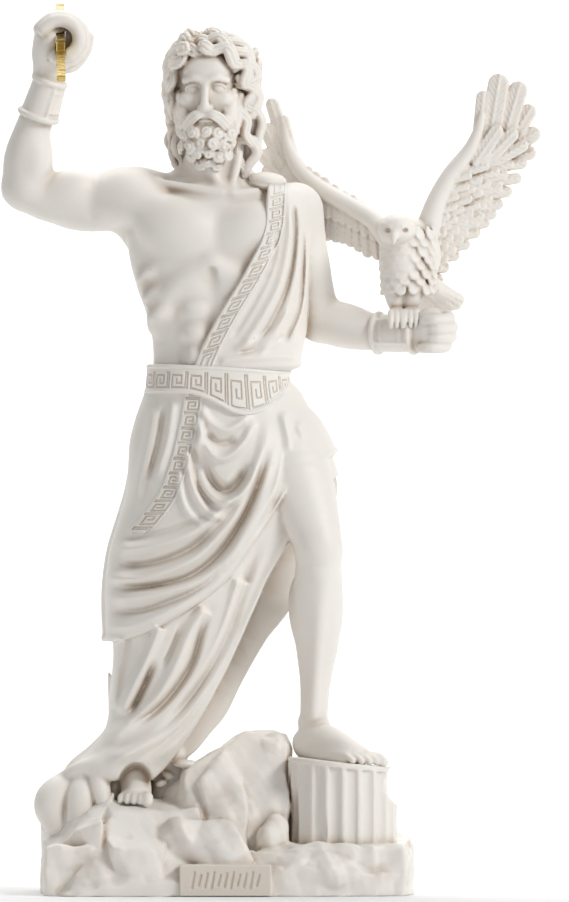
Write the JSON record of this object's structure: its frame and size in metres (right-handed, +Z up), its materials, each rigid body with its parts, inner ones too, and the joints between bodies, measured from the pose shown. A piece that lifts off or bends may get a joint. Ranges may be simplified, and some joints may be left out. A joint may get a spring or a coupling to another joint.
{
  "type": "god statue figurine",
  "caption": "Standing bearded god in a draped mantle on a rocky base, with a thunderbolt in a raised fist and a spread-winged eagle on the other wrist.",
  "frame": {"origin": "centre of the base's underside", "axes": "+Z up, -Y the way the god faces, +X to his left, the side of the eagle"},
  "size_m": [0.1817, 0.096, 0.3006],
  "materials": {
    "alabaster": "cast alabaster resin, matte with a slight sheen",
    "gilt": "antique gilt, darkened in the grooves"
  },
  "bodies": {
    "root": {"statue": "alabaster", "eagle": "alabaster", "thunderbolt": "gilt"}
  },
  "joints": []
}
